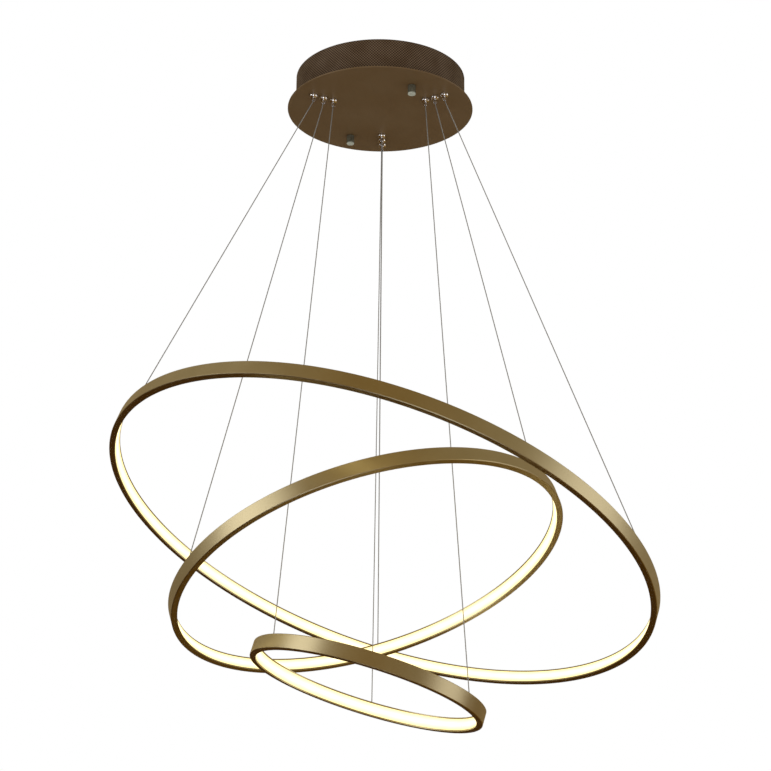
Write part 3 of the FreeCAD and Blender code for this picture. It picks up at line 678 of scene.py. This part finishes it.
def open_ring(ring):
    """(first angle, sweep, segments) of a band that is open at the ring's joint."""
    radius = RINGS[ring]["radius"]
    gap = math.degrees(JOINT_GAP / radius)
    segments = round(2 * math.pi * radius / RING_STEP)
    return JOINT_ANGLE + gap / 2, 360.0 - gap, segments


def ring_frame(ring):
    radius = RINGS[ring]["radius"]
    top = PROFILE_HEIGHT / 2
    inner = radius - PROFILE_WIDTH
    flange = top - PROFILE_WALL
    lip = inner + LIP_DEPTH
    rib = lip + DIFFUSER_THICKNESS
    outside = [
        (inner, flange - LIP_HEIGHT),
        (inner, top),
        (radius - PROFILE_CHAMFER, top),
        (radius, top - PROFILE_CHAMFER),
    ]
    inside = [
        (radius - PROFILE_WALL, flange),
        (rib + RIB_WIDTH, flange),
        (rib + RIB_WIDTH, flange - RIB_HEIGHT),
        (rib, flange - RIB_HEIGHT),
        (rib, flange),
        (lip, flange),
        (lip, flange - LIP_HEIGHT),
    ]
    outline = outside + [(r, -z) for r, z in reversed(outside)]
    outline += [(r, -z) for r, z in reversed(inside)] + inside
    start, sweep, segments = open_ring(ring)
    place = ring_matrix(ring)
    name = f"{ring}_ring_band"
    outline = rounded(outline, PROFILE_EDGE, 2)
    mesh = lathe_mesh(name, outline, segments, place, start, sweep, sharp=BAND_SHARP)
    band = new_piece(name, mesh)
    cut_away(band, cable_holes(ring) + splice_seats(ring), sharp=BAND_SHARP)
    dress(band, "ring_gold", f"{ring}_ring", f"{ring}_ring_frame")


def cable_holes(ring):
    """Cutters for each cable: a bore along it through the ring's upper wall, and a flared mouth."""
    place = ring_matrix(ring)
    top = PROFILE_HEIGHT / 2
    cutters = []
    for side in SPOKE_ANGLES:
        stop = place @ stop_centre(ring, side)
        along = (cable_exit(ring, side) - stop).normalized()
        points = [stop, stop + along * PROFILE_HEIGHT * MM]
        cutters.append(solid_between("cable_hole", points, [CABLE_HOLE_RADIUS * MM] * 2))
        end = place.inverted() @ cable_end(ring, side)
        levels = (top - CABLE_MOUTH_DEPTH, top, top + CUTTER_SPARE)
        points = [place @ Vector((end.x, end.y, z)) for z in levels]
        radii = [CABLE_HOLE_RADIUS * MM, CABLE_MOUTH_RADIUS * MM, CABLE_MOUTH_RADIUS * MM]
        cutters.append(solid_between("cable_mouth", points, radii))
    return cutters


def splice_seats(ring):
    """Cutters for the two countersunk screws beside the ring's joint."""
    radius = RINGS[ring]["radius"]
    back = radius - PROFILE_WIDTH + LIP_DEPTH + DIFFUSER_THICKNESS + RIB_WIDTH
    middle = (back + radius - PROFILE_WALL) / 2
    half = math.degrees(SPLICE_SCREW_SPACING / 2 / middle)
    top = PROFILE_HEIGHT / 2
    neck, mouth = SPLICE_SEAT_RADII
    levels = (top - 2 * PROFILE_WALL, top - SPLICE_SEAT_DEPTH, top, top + CUTTER_SPARE)
    radii = [neck * MM, neck * MM, mouth * MM, mouth * MM]
    cutters = []
    for angle in (JOINT_ANGLE - half, JOINT_ANGLE + half):
        points = [ring_matrix(ring) @ polar(middle, angle, z) for z in levels]
        cutters.append(solid_between("splice_seat", points, radii))
    return cutters


def ring_diffuser(ring):
    """The lit inner band. Its UV map starts at the lower edge of the face towards the ring's axis."""
    low = RINGS[ring]["radius"] - PROFILE_WIDTH + LIP_DEPTH
    high = low + DIFFUSER_THICKNESS
    top = PROFILE_HEIGHT / 2 - PROFILE_WALL - DIFFUSER_GAP
    edge = DIFFUSER_EDGE
    outline = [(low, -top + edge), (low, 0.0), (low, top - edge), (low + edge, top)]
    outline += [(high, top), (high, -top), (low + edge, -top)]
    start, sweep, segments = open_ring(ring)
    name = f"{ring}_ring_glow"
    mesh = lathe_mesh(name, outline, segments, ring_matrix(ring), start, sweep)
    dress(new_piece(name, mesh), "diffuser", f"{ring}_ring", f"{ring}_ring_diffuser")


# Cables


def cable_route(ring, side):
    """Down through the gripper, over its mouth, and straight on into the ring's upper wall."""
    mouth = cable_exit(ring, side)
    end = cable_end(ring, side)
    along = (end - mouth).normalized()
    lead = CABLE_LEAD * MM
    top = Vector((mouth.x, mouth.y, CABLE_TOP * MM))
    return [top, mouth + Vector((0, 0, lead)), mouth, mouth + along * lead, end]


def smooth_path(route):
    """Points read from the smooth curve that has the route as its control points."""
    curve = bpy.data.curves.new("route", "CURVE")
    curve.dimensions = "3D"
    curve.resolution_u = 24
    spline = curve.splines.new("NURBS")
    spline.points.add(len(route) - 1)
    for control, point in zip(spline.points, route):
        control.co = (*point, 1)
    spline.order_u = 3
    spline.use_endpoint_u = True
    holder = new_piece("route", curve)
    mesh = bpy.data.meshes.new_from_object(holder)
    points = [vertex.co.copy() for vertex in mesh.vertices]
    bpy.data.objects.remove(holder)
    bpy.data.curves.remove(curve)
    bpy.data.meshes.remove(mesh)
    return points


def evenly(points, step):
    """Points at equal distances along a path, about one step apart, with both ends kept."""
    lengths = [0.0]
    for a, b in zip(points, points[1:]):
        lengths.append(lengths[-1] + (b - a).length)
    count = max(1, round(lengths[-1] / step))
    result = []
    at = 0
    for k in range(count + 1):
        target = lengths[-1] * k / count
        while at < len(points) - 2 and lengths[at + 1] < target:
            at += 1
        share = (target - lengths[at]) / (lengths[at + 1] - lengths[at])
        result.append(points[at].lerp(points[at + 1], share))
    return result


def rope_mesh(name, points):
    """A rope of six twisted strands: each ring of the tube has a crest and a valley for each strand."""
    sides = 2 * CABLE_STRANDS
    turn_per_step = 2 * math.pi / CABLE_STEPS_PER_LAY
    vertices = []
    for k, point in enumerate(points):
        ahead = points[min(k + 1, len(points) - 1)] - points[max(k - 1, 0)]
        beside = ahead.cross(Vector((0, 1, 0))).normalized()
        across = ahead.cross(beside).normalized()
        for side in range(sides):
            angle = 2 * math.pi * side / sides + k * turn_per_step
            radius = (CABLE_VALLEY_RADIUS if side % 2 else CABLE_RADIUS) * MM
            vertices.append(point + radius * (math.cos(angle) * beside + math.sin(angle) * across))
    last = (len(points) - 1) * sides
    faces = [tuple(range(sides)), tuple(range(last, last + sides))]
    for k in range(len(points) - 1):
        low, high = k * sides, (k + 1) * sides
        faces += [(low + s, low + (s + 1) % sides, high + (s + 1) % sides, high + s) for s in range(sides)]
    return finished_mesh(name, vertices, faces, sharp=80.0)


def cable(ring, side):
    """A taut cable, down through its gripper and on into its ring."""
    path = evenly(smooth_path(cable_route(ring, side)), CABLE_LAY * MM / CABLE_STEPS_PER_LAY)
    name = f"cable_{ring}_{side}_rope"
    rope = new_piece(name, rope_mesh(name, path))
    dress(rope, "cable_steel", "canopy", f"cable_{ring}_{side}")
    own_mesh(rope)


# Surroundings


def floor():
    corners = [(x * FLOOR_HALF, y * FLOOR_HALF, FLOOR_LEVEL) for x, y in ((-1, -1), (1, -1), (1, 1), (-1, 1))]
    mesh = bpy.data.meshes.new("studio_floor")
    mesh.from_pydata(corners, [], [(0, 1, 2, 3)])
    piece = new_piece("studio_floor", mesh)
    finish = Finish("studio_floor", (0.82, 0.82, 0.81), 0.8)
    cloud = finish.noise(900.0)
    finish.paint(finish.blend(finish.spread(cloud, 0.3, 0.7), (0.80, 0.80, 0.79), (0.84, 0.84, 0.83)))
    mesh.materials.append(finish.material)
    piece.visible_glossy = False


def mirrored_room(sky, toward, split, aside):
    """What metal mirrors: warm walls, lighter above the horizon and at the sides, and a bright patch."""
    above = sky.blend(sky.spread(aside, 0.15, 0.75), *ROOM_ABOVE)
    below = sky.blend(sky.spread(split.outputs["X"], 0.0, 0.3), *ROOM_BELOW)
    walls = sky.blend(sky.spread(split.outputs["Z"], -0.12, 0.12), below, above)
    azimuth, elevation, half = WINDOW
    flat = polar(math.cos(math.radians(elevation)), azimuth)
    patch = (flat.x, flat.y, math.sin(math.radians(elevation)))
    facing = sky.node("ShaderNodeVectorMath", {0: toward, 1: patch}, operation="DOT_PRODUCT")
    rim, inside = math.cos(math.radians(half + WINDOW_RIM)), math.cos(math.radians(half))
    return sky.blend(sky.spread(facing.outputs["Value"], rim, inside), walls, WINDOW_COLOUR)


def even_light(sky, split, aside):
    """What lights matt surfaces: strongest from above, and weakest from the sides."""
    level = sky.blend(sky.spread(aside, 0.3, 0.9), *EVEN_LEVEL)
    return sky.blend(sky.spread(split.outputs["Z"], 0.0, 1.0), level, EVEN_ABOVE)


def surroundings():
    """White behind the lamp, even light for matt surfaces, and a warm, darker room for reflections."""
    world = bpy.data.worlds.new("studio")
    bpy.context.scene.world = world
    sky = Nodes(world)
    sky.nodes.clear()
    toward = sky.node("ShaderNodeTexCoord").outputs["Generated"]
    split = sky.node("ShaderNodeSeparateXYZ", {0: toward})
    aside = sky.calculate("ABSOLUTE", split.outputs["X"])
    path = sky.node("ShaderNodeLightPath")
    room, even = mirrored_room(sky, toward, split, aside), even_light(sky, split, aside)
    seen = sky.blend(path.outputs["Is Glossy Ray"], even, room)
    behind = sky.blend(path.outputs["Is Camera Ray"], seen, (1, 1, 1))
    background = sky.node("ShaderNodeBackground", {"Color": behind})
    sky.node("ShaderNodeOutputWorld", {"Surface": background.outputs[0]})
    world.cycles.sampling_method = "NONE"
    bpy.context.scene.view_settings.view_transform = "Standard"


def softbox(name, azimuth, distance, height, size, power, mirrored):
    """A rectangular light at that azimuth from +X, turned towards the middle of the lamp.

    It is either mirrored by metal or lights what is matt.
    """
    light = bpy.data.lights.new(name, "AREA")
    light.shape = "RECTANGLE"
    light.size, light.size_y = size
    light.energy = power
    lamp = bpy.data.objects.new(name, light)
    bpy.context.scene.collection.objects.link(lamp)
    lamp.location = polar(distance, azimuth, height)
    lamp.rotation_euler = (Vector(LAMP_MIDDLE) - lamp.location).to_track_quat("-Z", "Y").to_euler()
    lamp.visible_camera = False
    lamp.visible_glossy = mirrored
    lamp.visible_diffuse = not mirrored


def camera():
    turn, pitch, roll = (math.radians(v) for v in (CAMERA_TURN, CAMERA_PITCH, CAMERA_ROLL))
    ahead = Vector((-math.sin(turn) * math.cos(pitch), math.cos(turn) * math.cos(pitch), math.sin(pitch)))
    right = ahead.cross(Vector((0, 0, 1))).normalized()
    up = right.cross(ahead)
    right_rolled = right * math.cos(roll) + up * math.sin(roll)
    up_rolled = up * math.cos(roll) - right * math.sin(roll)
    data = bpy.data.cameras.new("camera")
    data.lens = CAMERA_LENS
    data.sensor_width = CAMERA_SENSOR
    data.clip_end = 200.0
    view = bpy.data.objects.new("camera", data)
    bpy.context.scene.collection.objects.link(view)
    turned = Matrix((right_rolled, up_rolled, -ahead)).transposed().to_4x4()
    view.matrix_world = Matrix.Translation(CAMERA_PLACE) @ turned
    bpy.context.scene.camera = view


camera()
dress_frame()
for ring in RINGS:
    for side in SPOKE_ANGLES:
        cable(ring, side)
canopy_drum()
for end in STUD_ANGLES:
    thumb_nut(end)
for ring in RINGS:
    ring_frame(ring)
    ring_diffuser(ring)
floor()
surroundings()
for name, settings in SOFTBOXES.items():
    softbox(name, **settings)
